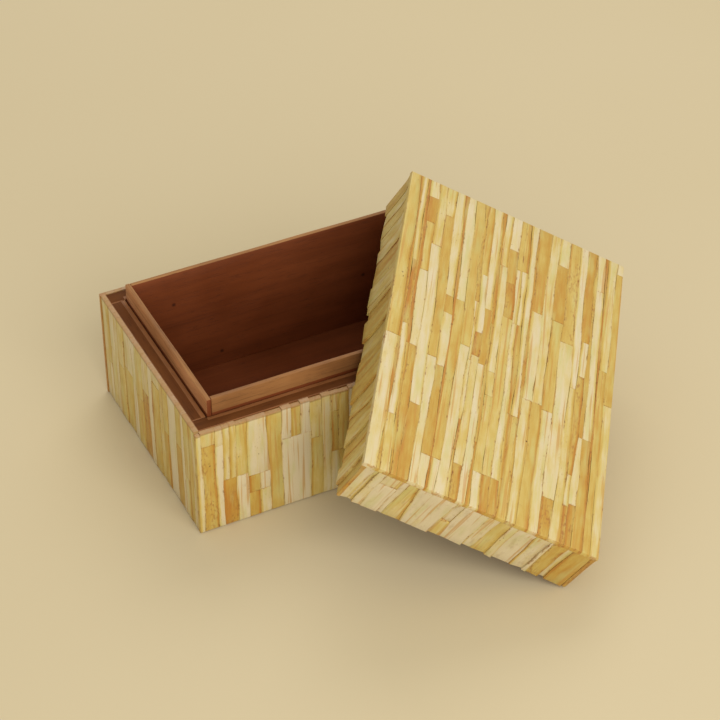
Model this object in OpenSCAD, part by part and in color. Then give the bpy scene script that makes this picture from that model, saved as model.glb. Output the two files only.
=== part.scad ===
// Bone-strip box: a board carcass with a thin liner that stands up as a lip,
// a loose lid that drops over the lip, and narrow bone strips glued over both.
// The lid is drawn where it lies: off the base, leaning on its front right corner.

/* [Box] */
// Length of the box over the bone, left to right
box_length = 200; // [160:1:260]
// Width of the box over the bone, front to back
box_width = 136; // [110:1:180]
// Height of the base from the table to its bone rim
base_height = 70; // [50:1:100]
// Height of the lid from its rim to the bone on top
lid_height = 34.5; // [30:0.5:50]

/* [Boards] */
// Thickness of the four base boards
board_thickness = 9; // [6:0.5:12]
// Thickness of the base's floor board
floor_thickness = 6; // [4:0.5:10]
// Thickness of the board under the lid's top strips
lid_board_thickness = 10; // [6:0.5:12]
// How far the base boards stop below the bone rim around them
ledge_drop = 0.5; // [0:0.1:1]

/* [Liner] */
// Thickness of the liner boards
liner_thickness = 2.8; // [2:0.1:5]
// Height of the lip that the liner makes above the bone rim
lip_height = 10; // [5:0.5:14]
// Gap all round between the lip and the closed lid
lid_clearance = 0.5; // [0.3:0.1:1.5]

/* [Bone strips] */
// Thickness of the bone
strip_thickness = 2.8; // [1.5:0.1:4]
// Usual width of an upright strip on the sides
side_strip_width = 6; // [4:0.5:12]
// Usual width of a strip on the lid's top
top_strip_width = 5; // [3:0.5:10]
// Pieces that make up each strip on the lid's top
pieces_per_top_strip = 3; // [1:1:5]
// Glue line between two strips
glue_line = 0.2; // [0.1:0.05:0.5]
// How much strip widths and end joints wander, as a share of their spacing
wander = 0.32; // [0:0.02:0.4]
// How far the base's strips stop above the table
foot_gap = 0.5; // [0:0.1:2]

/* [Where the lid lies] */
// Turn of the lid about the upright, from square with the base
lid_turn = 55.6; // [50:0.1:62]
// Rise of the lid along its length
lid_pitch = 12.4; // [9:0.1:16]
// Rise of the lid across its width
lid_roll = 28.5; // [25:0.1:33]
// Gap left where the lid leans on the base
lean_gap = 0.3; // [0.2:0.1:1]

/* [Hidden] */

bone = "wheat";
carcass_wood = "saddlebrown";
liner_wood = "peru";

// Carcass, inside the bone
carcass_length = box_length - 2 * strip_thickness;
carcass_width = box_width - 2 * strip_thickness;
carcass_top = base_height - ledge_drop;
well_length = carcass_length - 2 * board_thickness;
well_width = carcass_width - 2 * board_thickness;

// Liner, standing on the floor board
lip_inset = strip_thickness + board_thickness;
lip_top = base_height + lip_height;
liner_height = lip_top - floor_thickness;

// Lid, drawn about the middle of its rim with its top upwards
lid_wall_board = board_thickness - lid_clearance;
lid_wall = strip_thickness + lid_wall_board;
lid_wall_height = lid_height - strip_thickness - lid_board_thickness;
lid_side_height = lid_height - strip_thickness;

// The lid's own length, width and up directions after its three turns
lid_x = [cos(lid_turn) * cos(lid_pitch), sin(lid_turn) * cos(lid_pitch), sin(lid_pitch)];
lid_y = [-cos(lid_turn) * sin(lid_pitch) * sin(lid_roll) - sin(lid_turn) * cos(lid_roll),
         -sin(lid_turn) * sin(lid_pitch) * sin(lid_roll) + cos(lid_turn) * cos(lid_roll),
         cos(lid_pitch) * sin(lid_roll)];
lid_z = cross(lid_x, lid_y);

// Its lowest rim corner stands on the table
rest_z = lid_x[2] * box_length / 2 + lid_y[2] * box_width / 2;

// Inner edges of the lid's back wall, which crosses the base's front, and of its right wall
wall_inner_y = box_width / 2 - lid_wall;
wall_inner_x = box_length / 2 - lid_wall;

// Furthest back that the lid can lie with its back wall above an edge along X at y and z
function limit_over_front(y, z) =
    y - lid_y[1] * wall_inner_y
      - lid_x[1] * (z + lean_gap - rest_z - lid_y[2] * wall_inner_y) / lid_x[2];

// Furthest left that the lid can lie with its right wall above an edge along Y at x and z
function limit_over_right(x, z) =
    x - lid_x[0] * wall_inner_x
      - lid_y[0] * (z + lean_gap - rest_z - lid_x[2] * wall_inner_x) / lid_y[2];

// Furthest left that the lid can lie with its top board above a corner of the base
function limit_over_corner(corner) =
    (lid_z * corner - lid_wall_height + lean_gap - lid_z[1] * rest_y - lid_z[2] * rest_z) / lid_z[0];

// The front right corners of the lip and of the bone rim, whichever the lid meets first
lip_corner = [box_length / 2 - lip_inset, lip_inset - box_width / 2, lip_top];
rim_corner = [box_length / 2, -box_width / 2, base_height];
rest_y = min(limit_over_front(lip_corner[1], lip_top), limit_over_front(rim_corner[1], base_height));
rest_x = max(limit_over_corner(lip_corner), limit_over_corner(rim_corner),
             limit_over_right(lip_corner[0], lip_top), limit_over_right(rim_corner[0], base_height));

// Place of the k-th of n divisions along a span; the two ends stay put
function division(k, n, span, shift) =
    k <= 0 ? 0 : k >= n ? span : span * (k + wander * sin(137.5 * k + shift)) / n;

// Number of strips of about one width that fill a span
function strips_in(span, usual_width) = max(2, round(span / usual_width));

// One board, centred on X and Y, standing on z
module board(x, y, z, length, width, height) {
    translate([x - length / 2, y - width / 2, z]) cube([length, width, height]);
}

// A row of strips side by side along X, each standing up Z in a number of pieces
module strip_row(span, run, usual_width, pieces, shift) {
    count = strips_in(span, usual_width);
    for (i = [0 : count - 1], j = [0 : pieces - 1]) {
        x0 = division(i, count, span, shift) + (i > 0 ? glue_line / 2 : 0);
        x1 = division(i + 1, count, span, shift) - (i < count - 1 ? glue_line / 2 : 0);
        z0 = division(j, pieces, run, 222.5 * i) + (j > 0 ? glue_line / 2 : 0);
        z1 = division(j + 1, pieces, run, 222.5 * i) - (j < pieces - 1 ? glue_line / 2 : 0);
        translate([x0, 0, z0]) cube([x1 - x0, strip_thickness, z1 - z0]);
    }
}

// Upright strips on one of the two long sides: the front is side -1, the back is side 1
module long_side_strips(side, bottom, top, shift) {
    y = side < 0 ? -box_width / 2 : box_width / 2 - strip_thickness;
    translate([-box_length / 2, y, bottom])
        strip_row(box_length, top - bottom, side_strip_width, 1, shift);
}

// Upright strips on one of the two short sides, between the long sides' strips
module short_side_strips(side, bottom, top, shift) {
    x = side < 0 ? -box_length / 2 + strip_thickness : box_length / 2;
    translate([x, -carcass_width / 2, bottom]) rotate([0, 0, 90])
        strip_row(carcass_width, top - bottom, side_strip_width, 1, shift);
}

// Takes a lid piece from the lid's own frame to where the lid lies
module in_lid() {
    translate([rest_x, rest_y, rest_z]) rotate([lid_roll, -lid_pitch, lid_turn]) children();
}

// Base carcass: long boards run the full length, short boards stand between them
module base_floor_board() {
    color(carcass_wood) board(0, 0, 0, well_length, well_width, floor_thickness);
}

module base_long_board(side) {
    color(carcass_wood)
        board(0, side * (carcass_width - board_thickness) / 2, 0,
              carcass_length, board_thickness, carcass_top);
}

module base_short_board(side) {
    color(carcass_wood)
        board(side * (carcass_length - board_thickness) / 2, 0, 0,
              board_thickness, well_width, carcass_top);
}

// Liner: short boards run the full width of the well, long boards stand between them
module liner_long_board(side) {
    color(liner_wood)
        board(0, side * (well_width - liner_thickness) / 2, floor_thickness,
              well_length - 2 * liner_thickness, liner_thickness, liner_height);
}

module liner_short_board(side) {
    color(liner_wood)
        board(side * (well_length - liner_thickness) / 2, 0, floor_thickness,
              liner_thickness, well_width, liner_height);
}

// Lid carcass: the top board lies on four wall boards
module lid_top_board() {
    in_lid() color(carcass_wood)
        board(0, 0, lid_wall_height, carcass_length, carcass_width, lid_board_thickness);
}

module lid_long_board(side) {
    in_lid() color(carcass_wood)
        board(0, side * (carcass_width - lid_wall_board) / 2, 0,
              carcass_length, lid_wall_board, lid_wall_height);
}

module lid_short_board(side) {
    in_lid() color(carcass_wood)
        board(side * (carcass_length - lid_wall_board) / 2, 0, 0,
              lid_wall_board, carcass_width - 2 * lid_wall_board, lid_wall_height);
}

// Top strips run along the lid and cover the ends of the side strips
module lid_top_strips() {
    in_lid() color(bone)
        translate([-box_length / 2, -box_width / 2, lid_side_height])
            rotate([0, 90, 0]) rotate([0, 0, 90])
                strip_row(box_width, box_length, top_strip_width, pieces_per_top_strip, 20);
}

base_floor_board();
base_long_board(-1);  // base_front_board
base_long_board(1);  // base_back_board
base_short_board(-1);  // base_left_board
base_short_board(1);  // base_right_board
liner_long_board(-1);  // liner_front_board
liner_long_board(1);  // liner_back_board
liner_short_board(-1);  // liner_left_board
liner_short_board(1);  // liner_right_board
color(bone) long_side_strips(-1, foot_gap, base_height, 0);  // base_front_strips
color(bone) long_side_strips(1, foot_gap, base_height, 50);  // base_back_strips
color(bone) short_side_strips(-1, foot_gap, base_height, 90);  // base_left_strips
color(bone) short_side_strips(1, foot_gap, base_height, 140);  // base_right_strips
lid_top_board();
lid_long_board(-1);  // lid_front_board
lid_long_board(1);  // lid_back_board
lid_short_board(-1);  // lid_left_board
lid_short_board(1);  // lid_right_board
lid_top_strips();
in_lid() color(bone) long_side_strips(-1, 0, lid_side_height, 200);  // lid_front_strips
in_lid() color(bone) long_side_strips(1, 0, lid_side_height, 250);  // lid_back_strips
in_lid() color(bone) short_side_strips(-1, 0, lid_side_height, 290);  // lid_left_strips
in_lid() color(bone) short_side_strips(1, 0, lid_side_height, 330);  // lid_right_strips
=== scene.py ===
import math
import random

import bmesh
import bpy
import numpy as np
from mathutils import Matrix, Vector


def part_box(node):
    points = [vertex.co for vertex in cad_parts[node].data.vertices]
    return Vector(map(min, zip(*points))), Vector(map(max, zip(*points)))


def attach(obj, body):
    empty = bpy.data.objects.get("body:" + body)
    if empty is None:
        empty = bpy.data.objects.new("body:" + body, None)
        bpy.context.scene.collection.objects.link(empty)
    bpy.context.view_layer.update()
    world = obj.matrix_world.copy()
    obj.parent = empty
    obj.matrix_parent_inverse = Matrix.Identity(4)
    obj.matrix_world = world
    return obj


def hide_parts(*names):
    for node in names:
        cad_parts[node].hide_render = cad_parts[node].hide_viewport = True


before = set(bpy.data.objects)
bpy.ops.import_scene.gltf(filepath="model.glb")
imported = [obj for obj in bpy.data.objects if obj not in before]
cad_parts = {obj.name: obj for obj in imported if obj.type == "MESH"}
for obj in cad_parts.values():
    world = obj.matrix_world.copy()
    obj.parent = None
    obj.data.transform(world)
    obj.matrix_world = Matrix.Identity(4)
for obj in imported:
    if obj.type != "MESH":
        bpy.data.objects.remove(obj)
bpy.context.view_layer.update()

# Camera, table and light. A long lens looks down on the box from its front left; the table is
# one wide sheet of warm paper, lit by big soft lamps in a pale room, so shadows are faint.

camera_target = Vector((0.0183, -0.0217, 0.0442))
camera_distance = 1.30
camera_turn = math.radians(26.50)
camera_dip = math.radians(38.76)
camera_lens_mm = 117.0
sensor_mm = 36.0

bpy.ops.object.select_all(action="DESELECT")
bpy.ops.object.camera_add(
    location=camera_target + camera_distance * Vector((
        -math.sin(camera_turn) * math.cos(camera_dip),
        -math.cos(camera_turn) * math.cos(camera_dip),
        math.sin(camera_dip))),
    rotation=(math.pi / 2 - camera_dip, 0.0, -camera_turn))
camera = bpy.context.object
camera.name = "camera"
camera.data.lens = camera_lens_mm
camera.data.sensor_width = sensor_mm
bpy.context.scene.camera = camera
bpy.context.scene.view_settings.view_transform = "Standard"


def linear(hex_colour, alpha=1.0):
    """An sRGB hex colour as the linear values that a shader takes."""
    channels = [int(hex_colour[i:i + 2], 16) / 255 for i in (1, 3, 5)]
    return tuple(c / 12.92 if c <= 0.04045 else ((c + 0.055) / 1.055) ** 2.4
                 for c in channels) + (alpha,)


def add_node(tree, kind, settings=None, links=None):
    """Adds a node: settings fill its properties or sockets; links join its sockets to sources,
    or fill them where the source is a plain number."""
    new = tree.nodes.new(kind)
    for key, value in (settings or {}).items():
        if isinstance(key, str) and hasattr(new, key):
            setattr(new, key, value)
        else:
            new.inputs[key].default_value = value
    for key, source in (links or {}).items():
        if isinstance(source, bpy.types.NodeSocket):
            tree.links.new(source, new.inputs[key])
        else:
            new.inputs[key].default_value = source
    return new


def new_material(name):
    """An empty node material with its Principled shader."""
    material = bpy.data.materials.new(name)
    material.use_nodes = True
    return material, material.node_tree, material.node_tree.nodes["Principled BSDF"]


# Matt paper: no grain that the eye can find, only a faint unevenness of tone.
paper, tree, shader = new_material("matt_paper_sweep")
where = add_node(tree, "ShaderNodeTexCoord")
cloud = add_node(tree, "ShaderNodeTexNoise", {"Scale": 3.0, "Detail": 2.0},
                 {"Vector": where.outputs["Object"]})
tint = add_node(tree, "ShaderNodeValToRGB", links={"Fac": cloud.outputs["Fac"]})
tint.color_ramp.elements[0].color = linear("#D0C29E")
tint.color_ramp.elements[1].color = linear("#D4C7A6")
tree.links.new(tint.outputs["Color"], shader.inputs["Base Color"])
shader.inputs["Roughness"].default_value = 0.95
shader.inputs["Specular IOR Level"].default_value = 0.1

bpy.ops.object.select_all(action="DESELECT")
bpy.ops.mesh.primitive_grid_add(x_subdivisions=8, y_subdivisions=8, size=8.0,
                                location=(0.0, 0.0, 0.0))
table = bpy.context.object
table.name = "table"
table.data.materials.append(paper)


def hang_lamp(name, place, size, watts, colour):
    """A round soft lamp that looks at the box."""
    bpy.ops.object.select_all(action="DESELECT")
    bpy.ops.object.light_add(type="AREA", location=place)
    lamp = bpy.context.object
    lamp.name = name
    lamp.data.shape = "DISK"
    lamp.data.size = size
    lamp.data.energy = watts
    lamp.data.color = linear(colour)[:3]
    lamp.rotation_euler = (camera_target - lamp.location).to_track_quat("-Z", "Y").to_euler()


hang_lamp("lamp_front", (-0.05, -1.75, 1.25), 1.8, 29.0, "#FFFAF3")
hang_lamp("lamp_back", (0.80, 1.20, 1.50), 1.6, 12.0, "#FFFAF3")

room = bpy.data.worlds.new("pale_room")
bpy.context.scene.world = room
room.use_nodes = True
room.node_tree.nodes["Background"].inputs["Color"].default_value = linear("#FFF9F0")
room.node_tree.nodes["Background"].inputs["Strength"].default_value = 0.57

# Carcass of the base: four mango-wood boards round a floor board, glued. The long boards run
# the full length and the short ones butt between them. Stained dark, with a narrow groove along
# the liner and a paler band beside it: partly the stain rubbed thin, partly a painted highlight
# on its rounded arris.

mm = 0.001
chance = random.Random(7)
# Faces are painted and edges are picked, so edit mode selects edges throughout.
bpy.context.tool_settings.mesh_select_mode = (False, True, False)
# Two places or shares that differ by less than this are the same.
hair = 1e-6
carcass_arris_mm = 0.5
# The band beside the groove and its rounded arris are painted paler: partly rubbed stain, partly a
# painted highlight.
groove_mm, groove_deep_mm, rubbed_highlight_mm, rubbed_highlight_arris_mm = 0.6, 1.4, 2.6, 0.5
board_cuts = 14
hollow_mm, hollow_wave_mm = 0.05, 11


def own_box(node, place=Matrix()):
    """(lowest corner, highest corner) of a CAD node, square to the axes of a place."""
    back = np.array(place.inverted())
    points = np.array([v.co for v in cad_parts[node].data.vertices]) @ back[:3, :3].T
    points = points + back[:3, 3]
    return points.min(axis=0), points.max(axis=0)


def work_out(tree, grain, values, steps):
    """Adds a material's values, each worked out from the ones before it.

    A "noise" is a pattern drawn out along the grain: the length and width of one blotch in mm,
    its detail and its shift, then two levels of it and the two amounts they become. A "fade"
    does the same to a value. Any other step is one sum on two values.
    """
    for result, step, first, second in steps:
        if step == "noise":
            run_mm, width_mm, detail, shift = first
            scaled = add_node(tree, "ShaderNodeMapping", {
                "Scale": (1 / (run_mm * mm), 1 / (width_mm * mm), 1 / (width_mm * mm)),
                "Location": (shift, shift, shift)}, {"Vector": grain})
            source = add_node(tree, "ShaderNodeTexNoise", {"Scale": 1.0, "Detail": detail},
                              {"Vector": scaled.outputs["Vector"]}).outputs["Fac"]
        else:
            source = values.get(first, first)
        if step in ("noise", "fade"):
            low, high, least, most = second
            new = add_node(tree, "ShaderNodeMapRange", {
                "From Min": low, "From Max": high, "To Min": least, "To Max": most},
                {"Value": source})
        else:
            new = add_node(tree, "ShaderNodeMath", {"operation": step},
                           {0: source, 1: values.get(second, second)})
        values[result] = new.outputs[0]


def mango_wood(name, pale, mid, dark, gloss, shine, knot_share=0.0, vein_share=0.2):
    """Mango wood, planed: long soft figure, short open pores, and stain taken up in patches.

    gloss is the roughness of its shiniest and dullest patches, and shine its specular level.
    """
    material, tree, shader = new_material(name)
    knot_gap_mm, pore_depth_mm = 62.0, 0.15
    grain = add_node(tree, "ShaderNodeAttribute", {"attribute_name": "grain"}).outputs["Vector"]
    cells = add_node(tree, "ShaderNodeTexVoronoi", {
        "voronoi_dimensions": "2D", "Scale": 1 / (knot_gap_mm * mm)}, {"Vector": grain})
    values = {"to_knot": cells.outputs["Distance"]}
    work_out(tree, grain, values, (
        ("figure", "noise", (90.0, 7.0, 4.0, 0.0), (0.0, 1.0, 0.0, 0.5)),
        ("patches", "noise", (45.0, 45.0, 3.0, 5.0), (0.0, 1.0, 0.0, 0.5)),
        ("tone", "ADD", "figure", "patches"),
        ("pores", "noise", (7.0, 0.5, 1.0, 9.0), (0.60, 0.72, 0.0, 1.0)),
        ("veins", "noise", (60.0, 1.2, 2.0, 14.0), (0.60, 0.70, 0.0, vein_share)),
        ("knots", "fade", "to_knot", (0.026, 0.010, 0.0, knot_share)),
        ("marks", "MULTIPLY", "pores", 0.35),
        ("marks", "MAXIMUM", "marks", "veins"),
        ("marks", "MAXIMUM", "marks", "knots"),
        ("plane_waves", "noise", (27.0, 9.0, 2.0, 2.0), (0.0, 1.0, 0.0, 1.0)),
        ("height", "SUBTRACT", "plane_waves", "pores"),
        ("gloss", "fade", "patches", (0.175, 0.325, *gloss))))
    colour = add_node(tree, "ShaderNodeValToRGB", links={"Fac": values["tone"]})
    ramp = colour.color_ramp
    ramp.elements[0].position, ramp.elements[0].color = 0.34, linear(dark)
    ramp.elements[1].position, ramp.elements[1].color = 0.66, linear(pale)
    ramp.elements.new(0.5).color = linear(mid)
    mark_colour = tuple(c * 0.35 for c in linear(dark)[:3]) + (1.0,)
    marked = add_node(tree, "ShaderNodeMix", {"data_type": "RGBA", 7: mark_colour},
                      {0: values["marks"], 6: colour.outputs["Color"]})
    bump = add_node(tree, "ShaderNodeBump", {"Strength": 0.4, "Distance": pore_depth_mm * mm},
                    {"Height": values["height"]})
    tree.links.new(marked.outputs[2], shader.inputs["Base Color"])
    tree.links.new(bump.outputs["Normal"], shader.inputs["Normal"])
    tree.links.new(values["gloss"], shader.inputs["Roughness"])
    shader.inputs["IOR"].default_value = 1.47
    shader.inputs["Specular IOR Level"].default_value = shine
    return material


# Dark spirit stain under thin wax: red brown, a little shiny, cloudy where the wood drank more.
stained_wood = mango_wood("mango_wood_stained_dark", "#854521", "#793D1C", "#6B3417",
                          (0.5, 0.65), 0.35, knot_share=0.9)
# The same stain outside, where dust and handling have dulled it.
ledge_wood = mango_wood("mango_wood_stained_worn", "#6F421C", "#603616", "#4D290F",
                        (0.7, 0.8), 0.15)
# Bare, waxed wood: pale tan, with its veins and pores showing dark.
bare_wood = mango_wood("mango_wood_bare_waxed", "#AC7C4A", "#98693C", "#7A4F2A",
                       (0.55, 0.7), 0.3, vein_share=0.55)
# Between the two, beside the lip, where the lid rubs the stain away; it is also made paler as a
# painted highlight on the rounded arris there.
rubbed_and_highlit_wood = mango_wood("mango_wood_rubbed_band_painted_highlight", "#96643B", "#86562F", "#6F4422",
                         (0.5, 0.65), 0.35, vein_share=0.4)


def lies_on(point, low, high):
    """The faces of a box, as (axis, side), that a point lies on."""
    found = set()
    for axis in range(3):
        if abs(point[axis] - low[axis]) < hair:
            found.add((axis, -1))
        if abs(point[axis] - high[axis]) < hair:
            found.add((axis, 1))
    return found


def plane_board(name, node, body, materials, arris_mm, groove=None, groove_run=None,
                bare_side=None, bare_above=None, place=Matrix()):
    """A planed board in a CAD board's place, with its arrises eased.

    groove is the top arris that is cut away in a small step, by the face it shares with the
    top, as (axis, side), and groove_run where that step, with the paler band beside it, starts
    and stops along the board. materials are for the faces, for the eased arrises, the paler band
    (rubbed stain and painted highlight) or a bare top, and for the bare_side, which is bare only
    above the height bare_above.
    """
    low, high = own_box(node, place)
    bpy.ops.object.select_all(action="DESELECT")
    bpy.ops.mesh.primitive_cube_add(size=1.0, location=tuple((low + high) / 2),
                                    scale=tuple(high - low))
    board = bpy.context.object
    board.name = name
    bpy.ops.object.transform_apply(location=True, rotation=True, scale=True)
    for material in materials:
        board.data.materials.append(material)
    long_axis = int(np.argmax(high - low))
    bpy.ops.object.mode_set(mode="EDIT")
    bpy.ops.mesh.select_all(action="DESELECT")
    mesh = bmesh.from_edit_mesh(board.data)
    for face in mesh.faces:
        sides = set.intersection(*(lies_on(v.co, low, high) for v in face.verts))
        if bare_side is not None:
            face.material_index = 2 if bare_side in sides else 1 if (2, 1) in sides else 0
    for edge in mesh.edges:
        run = edge.verts[0].co - edge.verts[1].co
        if abs(run[long_axis]) > 0.9 * float((high - low)[long_axis]):
            edge.select_set(True)
    bmesh.update_edit_mesh(board.data)
    bpy.ops.mesh.subdivide(number_cuts=board_cuts)
    if bare_above is not None:
        bpy.ops.mesh.select_all(action="SELECT")
        bpy.ops.mesh.bisect(plane_co=(0.0, 0.0, bare_above), plane_no=(0.0, 0.0, 1.0))
        mesh = bmesh.from_edit_mesh(board.data)
        for face in mesh.faces:
            if face.calc_center_median().z < bare_above:
                face.material_index = 0
        bmesh.update_edit_mesh(board.data)
    if groove is not None:
        for stop in groove_run:
            bpy.ops.mesh.select_all(action="SELECT")
            bpy.ops.mesh.bisect(plane_co=tuple(stop if a == long_axis else 0.0 for a in range(3)),
                                plane_no=tuple(1.0 if a == long_axis else 0.0 for a in range(3)))
        bpy.ops.mesh.select_all(action="DESELECT")
        mesh = bmesh.from_edit_mesh(board.data)
        for edge in mesh.edges:
            ends = [v.co for v in edge.verts]
            inside = all(groove_run[0] - hair < e[long_axis] < groove_run[1] + hair for e in ends)
            shared = lies_on(ends[0], low, high) & lies_on(ends[1], low, high)
            if inside and shared == {groove, (2, 1)}:
                edge.select_set(True)
        bmesh.update_edit_mesh(board.data)
        bpy.ops.mesh.bevel(offset=groove_deep_mm * mm, segments=2, profile=0.0, affect="EDGES")
        inner = (high if groove[1] > 0 else low)[groove[0]]
        bpy.ops.transform.resize(
            value=tuple(groove_mm / groove_deep_mm if a == groove[0] else 1.0 for a in range(3)),
            center_override=tuple(float(inner) if a == groove[0] else 0.0 for a in range(3)))
        wall = inner - groove[1] * groove_mm * mm
        band_start = wall - groove[1] * rubbed_highlight_mm * mm
        bpy.ops.mesh.select_all(action="SELECT")
        bpy.ops.mesh.bisect(plane_co=tuple(band_start if a == groove[0] else 0.0 for a in range(3)),
                            plane_no=tuple(1.0 if a == groove[0] else 0.0 for a in range(3)))
        bpy.ops.mesh.select_all(action="DESELECT")
        mesh = bmesh.from_edit_mesh(board.data)
        # Faces of the band beside the groove take the paler wood: rubbed stain and a painted
        # highlight.
        for face in mesh.faces:
            middle = face.calc_center_median()
            in_run = groove_run[0] < middle[long_axis] < groove_run[1]
            in_band = (middle[groove[0]] - band_start) * groove[1] > 0
            if in_run and in_band and middle.z > high[2] - hair:
                face.material_index = 1
        for edge in mesh.edges:
            ends = [v.co for v in edge.verts]
            if all(abs(e[2] - high[2]) < hair and abs(e[groove[0]] - wall) < 10 * hair for e in ends):
                edge.select_set(True)
        bmesh.update_edit_mesh(board.data)
        # The rounded arris of the band takes the same paler wood, with its painted highlight.
        bpy.ops.mesh.bevel(offset=rubbed_highlight_arris_mm * mm, segments=3, affect="EDGES", material=1)
    bpy.ops.mesh.select_all(action="DESELECT")
    mesh = bmesh.from_edit_mesh(board.data)
    for edge in mesh.edges:
        if len(lies_on(edge.verts[0].co, low, high) & lies_on(edge.verts[1].co, low, high)) == 2:
            edge.select_set(True)
    bmesh.update_edit_mesh(board.data)
    bpy.ops.mesh.bevel(offset=arris_mm * mm, segments=2, affect="EDGES",
                       material=1 if bare_above is None else -1)
    bpy.ops.mesh.select_all(action="SELECT")
    bpy.ops.mesh.normals_make_consistent(inside=False)
    bpy.ops.object.mode_set(mode="OBJECT")
    points = np.array([v.co for v in board.data.vertices])
    order = sorted(range(3), key=lambda axis: low[axis] - high[axis])
    start = np.array([chance.uniform(0, 5) for _ in range(3)])
    layer = board.data.attributes.new("grain", "FLOAT_VECTOR", "POINT")
    along_grain = points[:, order] - low[order] + start
    layer.data.foreach_set("vector", along_grain.ravel().astype(np.float32))
    # The saw and the plane leave the faces up to a tenth of a millimetre hollow, never proud.
    middle, half = (low + high) / 2, (high - low) / 2
    wave = hollow_mm * mm * (1 + np.sin(points[:, long_axis] / (hollow_wave_mm * mm) + start[0]))
    inward = np.clip((points - middle) / half, -1, 1)
    inward[:, long_axis] = 0.0
    points = points - inward * wave[:, None]
    board.data.vertices.foreach_set("co", points.ravel().astype(np.float32))
    bpy.ops.object.shade_smooth_by_angle(angle=math.radians(40))
    board.matrix_world = place
    bpy.ops.object.transform_apply(location=True, rotation=True, scale=True)
    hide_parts(node)
    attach(board, body)


# The liner's outer faces: the groove runs along them.
liner_low, liner_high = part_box("liner_left_board")[0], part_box("liner_right_board")[1]
liner_low[1], liner_high[1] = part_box("liner_front_board")[0][1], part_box("liner_back_board")[1][1]
for side, axis, inner in (("front", 1, 1), ("back", 1, -1), ("left", 0, 1), ("right", 0, -1)):
    plane_board("base_" + side, "base_" + side + "_board", "base",
                [ledge_wood, rubbed_and_highlit_wood, bare_wood], carcass_arris_mm, groove=(axis, inner),
                groove_run=(liner_low[1 - axis] - groove_mm * mm,
                            liner_high[1 - axis] + groove_mm * mm))
plane_board("base_floor", "base_floor_board", "base",
            [stained_wood] * 3, carcass_arris_mm)

# Liner: four thin boards glued inside the carcass. They stand above it as the lip that the
# lid drops over. Stained dark inside, bare and waxed outside and along the top.

# The second number is how far above the ledge the outer face stays dark stained wood, a dark band
# along the lip's foot.
liner_arris_mm, foot_dark_band_mm = 0.45, 1.2
ledge_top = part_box("base_front_board")[1][2]
# The left board's outer face is painted paler than bare wood: painted light, for the shade that face
# stands in.
left_lip_painted_light_wood = mango_wood("mango_wood_bare_painted_paler", "#C69064", "#B67D50", "#906038",
                       (0.55, 0.7), 0.3, vein_share=0.55)
for side, axis, outer, outer_wood in (("front", 1, -1, bare_wood), ("back", 1, 1, bare_wood),
                                      ("left", 0, -1, left_lip_painted_light_wood), ("right", 0, 1, bare_wood)):
    plane_board("liner_" + side, "liner_" + side + "_board", "base",
                [stained_wood, bare_wood, outer_wood], liner_arris_mm,
                bare_side=(axis, outer), bare_above=ledge_top + foot_dark_band_mm * mm)

# Bone strips. Each is a length of camel shin, sawn, glued to the boards side by side with its
# end butted to the next, then filed and sanded level, so no two are quite the same width.

glue_gap = 0.05 * mm
bone_arris = 0.08 * mm
# What reaches this far in from an edge belongs to its arris.
arris_zone = bone_arris * 1.01
blank_width, blank_length = 5.0 * mm, 40.0 * mm
blank_cuts = 5
# How far a blank's first cut lies from its end, and how far a side's outer corner is rounded.
end_run_mm, outer_corner_mm = 0.66, 0.6
least_width_mm = 0.5
# A joint wanders in a long wave and a short one: how far, in mm, and over how many.
long_wander_mm, long_wave_mm = 0.38, 11
short_wander_mm, short_wave_mm = 0.17, 3.7
# A cut end may be this far out of square. Close to a rim the strips were filed level.
out_of_square_mm, rim_level_mm = 0.35, 6
length_low, length_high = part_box("base_front_strips")
bone_thickness = length_high[1] - length_low[1]

# The blank that every strip is shaped from: a bar with its four upper edges rounded.
bpy.ops.object.select_all(action="DESELECT")
bpy.ops.mesh.primitive_cube_add(size=1.0, location=(0.0, 0.0, -bone_thickness / 2),
                                scale=(blank_width, blank_length, bone_thickness))
blank = bpy.context.object
blank.name = "strip_blank"
bpy.ops.object.transform_apply(location=True, rotation=True, scale=True)
bpy.ops.object.mode_set(mode="EDIT")
bpy.ops.mesh.select_all(action="DESELECT")
bars = bmesh.from_edit_mesh(blank.data)
for edge in bars.edges:
    start, end = (v.co for v in edge.verts)
    if abs(start.y - end.y) > blank_length / 2:
        edge.select_set(True)
bmesh.update_edit_mesh(blank.data)
bpy.ops.mesh.subdivide(number_cuts=blank_cuts)
bpy.ops.mesh.select_all(action="DESELECT")
bars = bmesh.from_edit_mesh(blank.data)
for edge in bars.edges:
    on_top = all(v.co.z > -hair for v in edge.verts)
    if on_top and len([f for f in edge.link_faces if f.normal.z > 0.5]) == 1:
        edge.select_set(True)
bmesh.update_edit_mesh(blank.data)
bpy.ops.mesh.bevel(offset=bone_arris, segments=2, profile=0.6, affect="EDGES")
bpy.ops.object.mode_set(mode="OBJECT")
blank_points = np.array([v.co for v in blank.data.vertices])

# Bone, sawn and sanded, waxed: creamy to amber, silky, with fine fibres, dark pores and
# glue-stained edges. Tone, pores and pattern change from strip to strip.
bone, tree, shader = new_material("sawn_camel_bone_waxed")
pore_depth_mm = 0.14
grain = add_node(tree, "ShaderNodeAttribute", {"attribute_name": "grain"}).outputs["Vector"]
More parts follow.
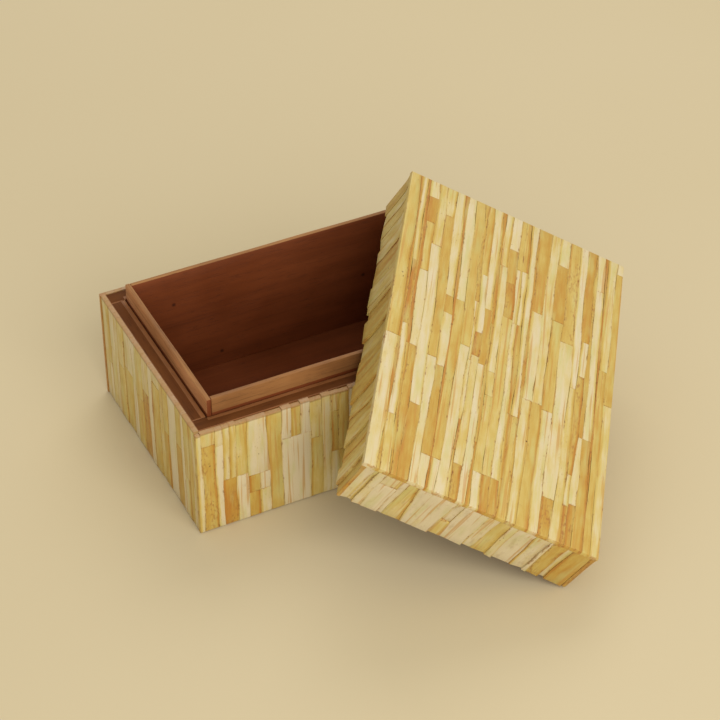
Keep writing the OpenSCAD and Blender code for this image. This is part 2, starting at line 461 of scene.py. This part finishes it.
# What each strip carries: its tone, how spongy it is and the side that soaked up more tallow;
# how far a point is from its sides, and how rough it was left; and how far from its ends and
# from a filed rim. All distances are in mm.
values = {}
for key, parts in (("kind", ("own_tone", "sponge", "soaked_side")),
                   ("sides", ("to_left", "to_right", "rough")),
                   ("ends", ("to_start", "to_end", "to_rim"))):
    carried = add_node(tree, "ShaderNodeAttribute", {"attribute_name": key})
    split = add_node(tree, "ShaderNodeSeparateXYZ", links={0: carried.outputs["Vector"]})
    values.update(zip(parts, split.outputs))
work_out(tree, grain, values, (
    # Tone of the strip, its cloudiness and fibres, and the amber that soaks in from one side.
    # At its joints it fades to the middling tone of glue and bone dust.
    ("mottle", "noise", (14.0, 5.0, 3.0, 0.0), (0.28, 0.72, -0.16, 0.16)),
    ("fibres", "noise", (10.0, 0.5, 2.0, 3.0), (0.30, 0.70, -0.06, 0.06)),
    ("streaks", "noise", (34.0, 1.6, 2.0, 37.0), (0.35, 0.65, -0.04, 0.04)),
    ("left_soak", "fade", "to_left", (1.7, 0.2, 0.0, 0.50)),
    ("right_soak", "fade", "to_right", (1.7, 0.2, 0.0, 0.50)),
    ("soaks_left", "fade", "soaked_side", (0.45, 0.15, 0.0, 1.0)),
    ("soaks_right", "fade", "soaked_side", (0.60, 0.90, 0.0, 1.0)),
    ("left_soak", "MULTIPLY", "left_soak", "soaks_left"),
    ("right_soak", "MULTIPLY", "right_soak", "soaks_right"),
    ("tone", "ADD", "own_tone", "mottle"),
    ("tone", "ADD", "tone", "fibres"),
    ("tone", "ADD", "tone", "streaks"),
    ("tone", "ADD", "tone", "left_soak"),
    ("tone", "ADD", "tone", "right_soak"),
    ("side_gap", "MINIMUM", "to_left", "to_right"),
    ("end_gap", "MINIMUM", "to_start", "to_end"),
    ("joint", "fade", "side_gap", (0.6, 0.0, 0.0, 0.35)),
    ("to_middling", "SUBTRACT", 0.42, "tone"),
    ("to_middling", "MULTIPLY", "to_middling", "joint"),
    ("tone", "ADD", "tone", "to_middling"),
    # Amber seams, where the grain drank tallow.
    ("seams", "noise", (46.0, 1.5, 1.0, 61.0), (0.60, 0.68, 0.0, 0.6)),
    # Greenish tallow stains.
    ("stain", "noise", (24.0, 5.0, 2.0, 11.0), (0.52, 0.70, 0.0, 0.5)),
    # Pores and nutrient channels, as short dark dashes along the strip.
    ("pore_zones", "noise", (30.0, 8.0, 2.0, 7.0), (0.48, 0.64, 0.0, 0.5)),
    ("pores", "noise", (1.8, 0.6, 1.0, 5.0), (0.66, 0.76, 0.0, 1.0)),
    ("pores", "MULTIPLY", "pores", "pore_zones"),
    # A few open pits, only here and there.
    ("pit_zones", "noise", (22.0, 9.0, 1.0, 53.0), (0.68, 0.72, 0.0, 0.9)),
    ("pits", "noise", (1.7, 1.5, 0.0, 47.0), (0.76, 0.81, 0.0, 1.0)),
    ("pits", "MULTIPLY", "pits", "pit_zones"),
    # Spongy bone, where the saw cut into the inner wall: small dark cells between pale webs.
    ("cells", "noise", (2.6, 1.2, 3.0, 29.0), (0.48, 0.66, 0.0, 0.75)),
    ("spongy", "noise", (14.0, 5.0, 2.0, 2.0), (0.44, 0.58, 0.0, 1.0)),
    ("spongy", "MULTIPLY", "spongy", "sponge"),
    ("spongy", "MULTIPLY", "spongy", "cells"),
    # Old glue and wax: a soft amber line along some sides and ends, with dark specks in it.
    ("grime", "noise", (9.0, 4.0, 3.0, 13.0), (0.0, 1.0, 0.0, 1.0)),
    ("more_grime", "MULTIPLY", "rough", 0.06),
    ("grime", "ADD", "grime", "more_grime"),
    ("side_line", "fade", "side_gap", (0.7, 0.1, 0.0, 1.0)),
    ("side_grime", "fade", "grime", (0.51, 0.70, 0.0, 0.6)),
    ("side_line", "MULTIPLY", "side_line", "side_grime"),
    ("end_line", "fade", "end_gap", (0.5, 0.1, 0.0, 1.0)),
    ("end_grime", "fade", "grime", (0.46, 0.64, 0.0, 0.6)),
    ("end_line", "MULTIPLY", "end_line", "end_grime"),
    ("lines", "MAXIMUM", "side_line", "end_line"),
    ("specks", "noise", (2.2, 0.9, 2.0, 17.0), (0.55, 0.66, 0.0, 0.8)),
    ("edge_gap", "MINIMUM", "side_gap", "end_gap"),
    ("near_edge", "fade", "edge_gap", (0.9, 0.3, 0.0, 1.0)),
    ("speck_zones", "fade", "grime", (0.47, 0.60, 0.0, 1.0)),
    ("specks", "MULTIPLY", "specks", "near_edge"),
    ("specks", "MULTIPLY", "specks", "speck_zones"),
    # Sides that were only filed keep ridges, file marks and chips, with old wax in the low
    # places.
    ("ridges", "noise", (11.0, 1.8, 3.0, 41.0), (0.45, 0.65, 0.0, 1.0)),
    ("rougher", "fade", "rough", (0.5, 1.0, 0.1, 1.0)),
    ("rougher", "MULTIPLY", "rougher", "rough"),
    ("ridges", "MULTIPLY", "ridges", "rougher"),
    ("wax", "MULTIPLY", "ridges", 0.18),
    ("marks", "noise", (6.0, 3.0, 5.0, 23.0), (0.57, 0.72, 0.0, 0.4)),
    ("marks", "MULTIPLY", "marks", "rough"),
    ("wax", "MAXIMUM", "wax", "marks"),
    # The rim was filed level after gluing, so the ends of the strips are dull and brown there,
    # with a dark line below them.
    ("rim_wear", "fade", "grime", (0.30, 0.70, 0.95, 0.65)),
    ("rim_tint", "fade", "to_rim", (0.85, 0.50, 0.0, 1.0)),
    ("rim_tint", "MULTIPLY", "rim_tint", "rim_wear"),
    ("rim_line", "fade", "to_rim", (0.40, 0.80, 0.0, 1.0)),
    ("rim_line_end", "fade", "to_rim", (1.50, 0.95, 0.0, 0.5)),
    ("rim_line", "MULTIPLY", "rim_line", "rim_line_end"),
    # Low relief: fibres stand, pores and cells sink; wax fills the gloss unevenly.
    ("relief", "MULTIPLY", "fibres", 3.3),
    ("sunk", "MAXIMUM", "pores", "spongy"),
    ("sunk", "ADD", "sunk", "pits"),
    ("sunk", "MAXIMUM", "sunk", "specks"),
    ("sunk", "ADD", "sunk", "marks"),
    ("sunk", "ADD", "sunk", "ridges"),
    ("relief", "SUBTRACT", "relief", "sunk"),
    ("gloss", "fade", "mottle", (-0.15, 0.15, 0.38, 0.55))))
body_colour = add_node(tree, "ShaderNodeValToRGB", links={"Fac": values["tone"]})
ramp = body_colour.color_ramp
ramp.elements[0].position, ramp.elements[0].color = 0.0, linear("#D7C9A5")
ramp.elements[1].position, ramp.elements[1].color = 1.0, linear("#B57C2B")
for position, shade in ((0.2, "#D3C28C"), (0.4, "#CCB465"), (0.58, "#C4A651"), (0.78, "#BD943C")):
    ramp.elements.new(position).color = linear(shade)
colour = body_colour.outputs["Color"]
for over, amount in (("#C3BE78", "stain"), ("#BE8A3A", "seams"), ("#9A6A30", "pores"),
                     ("#9C622A", "spongy"), ("#B07C38", "lines"), ("#8A5220", "specks"),
                     ("#9A7640", "wax"), ("#5E3C1A", "pits"), ("#A67C50", "rim_tint"),
                     ("#7A5426", "rim_line")):
    tinted = add_node(tree, "ShaderNodeMix", {"data_type": "RGBA", 7: linear(over)},
                      {0: values[amount], 6: colour})
    colour = tinted.outputs[2]
bump = add_node(tree, "ShaderNodeBump", {"Strength": 0.6, "Distance": pore_depth_mm * mm},
                {"Height": values["relief"]})
tree.links.new(colour, shader.inputs["Base Color"])
tree.links.new(bump.outputs["Normal"], shader.inputs["Normal"])
tree.links.new(values["gloss"], shader.inputs["Roughness"])
shader.inputs["IOR"].default_value = 1.54

# Ivory, cream, yellow, honey, amber and brown. A capital letter is the same tone in spongy bone.
tones = {"i": 0.05, "c": 0.20, "y": 0.37, "h": 0.50, "a": 0.66, "b": 0.86}


def read_cuts(text):
    """A cutting list as (widths from start to end, [(tones side by side, share of the run)]).

    Each line is one column of strips: its width in mm, or its widths where it tapers, and then
    its pieces in order, each with the letters of its tones and its share of the length.
    """
    columns = []
    for line in text.strip().splitlines():
        widths, *pieces = line.split()
        columns.append(([float(w) for w in widths.split("/")],
                        [(p.rstrip("0123456789"), float(p.lstrip("icyhabICYHAB"))) for p in pieces]))
    return columns


def make_up_cuts(span, usual, most_pieces):
    """A cutting list for a side where any order of strips will do."""
    columns = []
    filled = 0.0
    while filled < span / mm:
        width = usual * chance.uniform(0.5, 1.6)
        pieces = [(chance.choice("iiccccyyhhaaAB"), chance.uniform(20, 60))
                  for _ in range(chance.randint(1, most_pieces))]
        columns.append(([width, width * chance.uniform(0.8, 1.25)], pieces))
        filled += width
    return columns


def lay_strips(name, node, body, corner, across, along, out, span, run, columns,
               uneven=0.25, ragged=0.0, rough=0.0, start_arris=0.8, end_arris=0.8, worn_start=0.0,
               painted_light_tone_shift=0.0, place=None):
    """Glues one side's strips on: columns stand side by side across, pieces end to end along.

    uneven is how far, in mm, a strip may lie below its neighbours and ragged how far its far end
    may fall short. rough, 0 to 1, is how little the side was sanded. start_arris and end_arris
    are how far, in mm, the two ends are rounded over, and worn_start how far the file took the
    first one down. The tone shift makes all of the side's bone darker, or paler where it is negative,
    as painted shade or painted light for how brightly that side is lit.
    """
    across, along, out = Vector(across), Vector(along), Vector(out)
    totals = [sum(np.interp(t, np.linspace(0, 1, len(w)), w) for w, _ in columns)
              for t in (0.0, 0.5, 1.0)]
    lines = [np.zeros(3)]
    for widths, _ in columns:
        knots = [np.interp(t, np.linspace(0, 1, len(widths)), widths) / total
                 for t, total in zip((0.0, 0.5, 1.0), totals)]
        lines.append(lines[-1] + np.array(knots))
    wobble = [(chance.uniform(0, 6.3), chance.uniform(0, 6.3)) for _ in lines]

    def line_at(k, run_at):
        """Where joint line k lies across the side, at each distance along it."""
        straight = np.interp(run_at / run, (0.0, 0.5, 1.0), lines[k]) * span
        if k in (0, len(columns)):
            return straight
        a, b = wobble[k]
        return straight + mm * (long_wander_mm * np.sin(run_at / (long_wave_mm * mm) + a)
                                + short_wander_mm * np.sin(run_at / (short_wave_mm * mm) + b))

    made = []
    for k, (_, pieces) in enumerate(columns):
        whole = sum(share for _, share in pieces)
        begun = 0.0
        for tone_letters, share in pieces:
            v0, v1 = run * begun / whole, run * (begun + share) / whole
            begun += share
            for n, letter in enumerate(tone_letters):
                made.append(shape_strip(
                    letter, v0, v1, n / len(tone_letters), (n + 1) / len(tone_letters),
                    lambda at, k=k: line_at(k, at), lambda at, k=k: line_at(k + 1, at),
                    k == 0 and n == 0, k == len(columns) - 1 and n == len(tone_letters) - 1,
                    v0 == 0.0, begun > whole - hair, corner, across, along, out,
                    uneven, ragged, rough, start_arris, end_arris, worn_start, painted_light_tone_shift))
    bpy.ops.object.select_all(action="DESELECT")
    for strip in made:
        strip.select_set(True)
    bpy.context.view_layer.objects.active = made[0]
    bpy.ops.object.join()
    side = bpy.context.object
    side.name = name
    bpy.ops.object.mode_set(mode="EDIT")
    bpy.ops.mesh.select_all(action="SELECT")
    bpy.ops.mesh.normals_make_consistent(inside=False)
    bpy.ops.object.mode_set(mode="OBJECT")
    bpy.ops.object.shade_smooth_by_angle(angle=math.radians(35))
    if place is not None:
        side.matrix_world = place
        bpy.ops.object.transform_apply(location=True, rotation=True, scale=True)
    side.data.materials.clear()
    side.data.materials.append(bone)
    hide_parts(node)
    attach(side, body)


def shape_strip(letter, v0, v1, from_share, to_share, left_line, right_line, is_first, is_last,
                at_start, at_end, corner, across, along, out, uneven, ragged, rough,
                start_arris, end_arris, worn_start, painted_light_tone_shift):
    """One strip: a copy of the blank, cut to its place between two joint lines."""
    strip = blank.copy()
    strip.data = blank.data.copy()
    bpy.context.collection.objects.link(strip)
    x, y, z = blank_points.T
    v0 += worn_start * mm * chance.uniform(0.4, 1.0) if at_start else glue_gap / 2
    v1 -= ragged * mm * chance.random() ** 1.6 if at_end else glue_gap / 2
    # Distance of each point from the blank's nearest side, end and upper face.
    from_side = blank_width / 2 - np.abs(x)
    from_end = blank_length / 2 - np.abs(y)
    below = -z
    corner_soft = outer_corner_mm * mm / bone_arris
    start_soft, end_soft = start_arris * mm / bone_arris, end_arris * mm / bone_arris
    soft_side = np.where(x < 0, corner_soft if is_first else 1.0, corner_soft if is_last else 1.0)
    soft_tip = np.where(y < 0, start_soft if at_start else 1.0, end_soft if at_end else 1.0)
    near_side, near_end = from_side < arris_zone, from_end < arris_zone
    softness = np.maximum(np.where(near_side, soft_side, 1.0), np.where(near_end, soft_tip, 1.0))
    in_arris = below < arris_zone
    depth = np.where(in_arris, below * softness, below)
    end_inset = np.where(near_end, from_end * soft_tip, 0.0)
    end_run = end_run_mm * mm
    middle = (y + blank_length / 2 - bone_arris) / (blank_length - 2 * bone_arris)
    v = np.where(near_end, np.where(y < 0, v0 + end_inset, v1 - end_inset),
                 v0 + end_run + middle * (v1 - v0 - 2 * end_run))
    left, right = left_line(v), right_line(v)
    left, right = left + (right - left) * from_share, left + (right - left) * to_share
    left = left + (0.0 if is_first else glue_gap / 2)
    right = right - (0.0 if is_last else glue_gap / 2)
    width = np.maximum(right - left, least_width_mm * mm)
    inset = np.minimum(from_side * soft_side, width * 0.4)
    u = np.where(x < 0, left + inset, left + width - inset)
    # The cut ends are a little out of square, and the face was sanded a little out of level.
    slant = chance.uniform(-out_of_square_mm, out_of_square_mm) * mm
    v = v + np.where(near_end & ~((y < 0) & at_start) & ~((y > 0) & at_end),
                     slant * (u - left - width / 2) / width, 0.0)
    if at_end and ragged:
        chip = chance.uniform(-0.5, 0.5) * ragged * mm
        v = v - np.where(near_end & (y > 0),
                         abs(chip) / 2 + chip * (u - left - width / 2) / width, 0.0)
    sunk = uneven * mm * chance.random() ** 1.5
    tilt = chance.uniform(-0.4, 0.4) * uneven * mm
    lowered = sunk + abs(tilt) / 2 + tilt * (u - left - width / 2) / width
    if at_start:
        lowered = lowered * np.clip((v - v0) / (rim_level_mm * mm), 0.25, 1.0)
    depth = depth + np.where(in_arris, lowered, 0.0)
    points = (np.array(corner)[None] + u[:, None] * np.array(across)[None]
              + v[:, None] * np.array(along)[None] - depth[:, None] * np.array(out)[None])
    strip.data.vertices.foreach_set("co", points.ravel().astype(np.float32))

    # Painted light and shade: the side's tone shift makes its bone paler or darker to suit how
    # brightly that side is lit.
    tone = tones[letter.lower()] + chance.uniform(-0.07, 0.07) + painted_light_tone_shift
    if letter.isupper():
        sponge = 1.0
    else:
        sponge = 0.8 if tone > 0.5 and chance.random() < 0.1 else 0.0
    own = np.array([chance.uniform(0, 9) for _ in range(3)])
    rim_strip = at_start and worn_start > 0
    length = v1 - v0
    to_rim = v - v0 if rim_strip else 0 * v + 1
    values = {
        "grain": np.stack([v, u, depth], 1) + own[None],
        "kind": np.tile((tone, sponge, chance.random()), (len(x), 1)),
        "sides": np.stack([u - left, left + width - u, 0 * u + rough * mm], 1) / mm,
        "ends": np.stack([v - v0, v0 + length - v, to_rim], 1) / mm,
    }
    for key, value in values.items():
        layer = strip.data.attributes.new(key, "FLOAT_VECTOR", "POINT")
        layer.data.foreach_set("vector", value.ravel().astype(np.float32))
    return strip


box_left, box_right = length_low[0], length_high[0]
box_front, box_back = length_low[1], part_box("base_back_strips")[1][1]
rim, strip_foot = length_high[2], length_low[2]
inner_front, inner_back = box_front + bone_thickness, box_back - bone_thickness

# Base, front: broad pale plates between amber strips, most in one or two lengths.
front_cuts = """
3 c100
7.5 h15 a85
4 y18 i82
7.5 cy54 B46
6.5 h54 i46
11/13 i58 ai17 ac25
8.5/7 h100
16.5 ihi32 i68
7 y40 h60
5 c100
4.5 y20 a40 c40
5.5 h60 a40
7 i30 c70
4 a100
6 c45 h55
9 i100
3.5 A60 y40
6 y100
5 c30 a70
8 i65 c35
4.5 h100
6 c100
5 a35 i65
7 y100
3.5 i100
8 c50 h50
5 A100
6 i100
7 y40 c60
4 h100
5 c100
"""
# Painted light: the base's bone is shifted a little paler on every side.
lay_strips("base_front_bone", "base_front_strips", "base",
           (box_left, box_front, rim), (1, 0, 0), (0, 0, -1), (0, -1, 0),
           box_right - box_left, rim - strip_foot, read_cuts(front_cuts),
           worn_start=1.6, painted_light_tone_shift=-0.06)

# Base, left: every line is one strip or two, end to end.
left_cuts = """
6 c100
5 h60 c40
7 c40 y60
5 c100
9 y45 h55
12 c40 h60
6 i100
10 h50 a50
9 c35 B65
6 i100
10 c12 a88
5 y100
7 h45 a55
11 i100
8 a40 b60
3.5 i100
7 y60 c40
5 h100
4 c100
"""
# Painted light: shifted a little paler, as on the front.
lay_strips("base_left_bone", "base_left_strips", "base",
           (box_left, inner_back, rim), (0, -1, 0), (0, 0, -1), (-1, 0, 0),
           inner_back - inner_front, rim - strip_foot, read_cuts(left_cuts),
           uneven=0.4, worn_start=0.3, painted_light_tone_shift=-0.06)

# Base, back and right: the same kind of strips, in whatever order they came to hand.
# Painted light: both shifted a little paler, as on the front.
lay_strips("base_back_bone", "base_back_strips", "base",
           (box_right, box_back, rim), (-1, 0, 0), (0, 0, -1), (0, 1, 0),
           box_right - box_left, rim - strip_foot, make_up_cuts(box_right - box_left, 6.0, 2),
           worn_start=0.3, painted_light_tone_shift=-0.06)
lay_strips("base_right_bone", "base_right_strips", "base",
           (box_right, inner_front, rim), (0, 1, 0), (0, 0, -1), (1, 0, 0),
           inner_back - inner_front, rim - strip_foot,
           make_up_cuts(inner_back - inner_front, 6.0, 2), worn_start=0.3, painted_light_tone_shift=-0.06)

# Lid boards: four under a thick top board, like the base but with no liner. The lid leans, so
# all of it is made square to the axes about the middle of its top board and then put where
# that board lies. Its own X is its length, Y its width and Z its top.

top_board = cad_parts["lid_top_board"].data
board_points = np.array([v.co for v in top_board.vertices])
lid_axes = []
for polygon in top_board.polygons:
    normal = polygon.normal if polygon.normal.z > 0 else -polygon.normal
    if all(abs(normal.dot(axis)) < 0.5 for axis in lid_axes):
        lid_axes.append(normal.copy())
lid_axes.sort(key=lambda axis: -np.ptp(board_points @ np.array(axis)))
lid_middle = Vector()
for axis in lid_axes:
    spread = board_points @ np.array(axis)
    lid_middle += axis * float(np.min(spread) + np.max(spread)) / 2
lid_place = Matrix([[lid_axes[0][i], lid_axes[1][i], lid_axes[2][i], lid_middle[i]]
                    for i in range(3)] + [[0, 0, 0, 1]])

lid_arris_mm = 0.5
plane_board("lid_top", "lid_top_board", "lid", [stained_wood] * 3,
            lid_arris_mm, place=lid_place)
for side in ("front", "back", "left", "right"):
    plane_board("lid_" + side, "lid_" + side + "_board", "lid",
                [stained_wood, bare_wood, bare_wood], lid_arris_mm, place=lid_place)

# Lid strips: the same camel bone, glued along the top in lines of one to five lengths and down
# the four sides in plates, nearly all of them whole. The top was sanded level; the sides were
# only filed, so they are uneven and their feet are ragged.

lid_low, lid_high = own_box("lid_top_strips", lid_place)
rim_low, rim_high = own_box("lid_left_strips", lid_place)
lid_length, lid_width = lid_high[0] - lid_low[0], lid_high[1] - lid_low[1]
side_run = rim_high[2] - rim_low[2]

# Top: thirty-two lines of strip along the lid, far end first, from its back edge to its front.
top_cuts = """
6.2/7/7 y57 i43
1.3/1.3/1.2 h57 b25 h18
3/3/5 c30 a22 i30 c18
2/2/1 a58 y42
5/5/3.5 i6 a9 y17 i26 a42
5/6.3/6.5 c22 i54 a24
6/5/4 c10 h49 i41
5.5/5/5 i37 h6 i18 a29 i10
1.8/1/0.6 a100
5/5.5/4.5 i37 h53 i10
5.5/5.5/6 y51 i49
2/2/1.5 h35 i20 c20 B10 c15
4/4/5 h25 i20 A8 c36 A11
5.5/4/4.5 i36 a19 i45
1.8/1.5/1.8 a40 h40 a20
4.5/4.5/5 c19 i37 c8 y25 i11
5.5/6/4.5 i12 h12 a12 y53 a11
3/3/5 y18 i19 i52 h11
3.5/3/0.8 y18 i19 a30 y33
4.5/3.2/5 i67 y33
0.6/1.6/0.6 a67 y33
7.5/6/5.5 h30 i30 c40
5.5/5.5/6.5 c60 h40
7/6.5/5 i10 a20 y31 i39
6/8/7 y36 i52 A12
5/4/6 i50 c50
5.5/4.5/2 a33 i12 h33 i10 A12
1.2/2.2/4.5 h25 a40 i22 A13
5/4.5/6 i13 i52 h35
1.2/1/0.6 a100
6/4.5/4 c40 h60
4/5/5.5 i4 h47 c49
"""
# Painted shade: the top, lit most brightly, has its bone shifted a little darker.
lay_strips("lid_top_bone", "lid_top_strips", "lid",
           (lid_high[0], lid_high[1], lid_high[2]), (0, -1, 0), (-1, 0, 0), (0, 0, 1),
           lid_width, lid_length, read_cuts(top_cuts),
           start_arris=0.9, end_arris=0.9, painted_light_tone_shift=0.08, place=lid_place)

# Left end: broad plates, a little smoother than on the other sides.
end_cuts = """
5 c100
2.5 y100
4.5 c100
9/10 y25 i75
4/3 c100
6/10 h100
22/17 i100
5.5/6 c55 y45
14 i100
6 c100
7.5 h100
4.5 y100
11 i100
8 c100
2 i100
8 B100
3.5 c100
11 b100
"""
# Painted light: the end's bone is shifted much paler.
lay_strips("lid_left_bone", "lid_left_strips", "lid",
           (lid_low[0], rim_high[1], rim_high[2]), (0, -1, 0), (0, 0, -1), (-1, 0, 0),
           rim_high[1] - rim_low[1], side_run, read_cuts(end_cuts),
           uneven=1.5, ragged=1.6, rough=0.7, start_arris=0.2, end_arris=0.35,
           painted_light_tone_shift=-0.17, place=lid_place)

# Back, right and front: one plate to a line, as the file left them.
only_filed = {"uneven": 1.5, "ragged": 2.4, "rough": 1.0, "start_arris": 0.2, "end_arris": 0.35}
back_cuts = """
8/6 h100
7/9 c100
5 y100
8 h100
9/11 c100
6 y100
14/11 c100
10/12 y100
7 h100
9/8 y100
13 c100
11/13 y100
7 h100
4 c100
12 c100
11/9 y100
8/10 h100
10/8 c100
9 c100
10 y100
8/9 c100
8/7 h100
"""
# Painted shade: the back's bone is shifted much darker, for the shade it stands in.
lay_strips("lid_back_bone", "lid_back_strips", "lid",
           (lid_low[0], lid_high[1], rim_high[2]), (1, 0, 0), (0, 0, -1), (0, 1, 0),
           lid_length, side_run, read_cuts(back_cuts),
           painted_light_tone_shift=0.18, place=lid_place, **only_filed)
lay_strips("lid_right_bone", "lid_right_strips", "lid",
           (lid_high[0], rim_low[1], rim_high[2]), (0, 1, 0), (0, 0, -1), (1, 0, 0),
           rim_high[1] - rim_low[1], side_run, make_up_cuts(rim_high[1] - rim_low[1], 8.0, 1),
           place=lid_place, **only_filed)
lay_strips("lid_front_bone", "lid_front_strips", "lid",
           (lid_high[0], lid_low[1], rim_high[2]), (-1, 0, 0), (0, 0, -1), (0, -1, 0),
           lid_length, side_run, make_up_cuts(lid_length, 8.0, 1),
           place=lid_place, **only_filed)

bpy.data.objects.remove(blank)
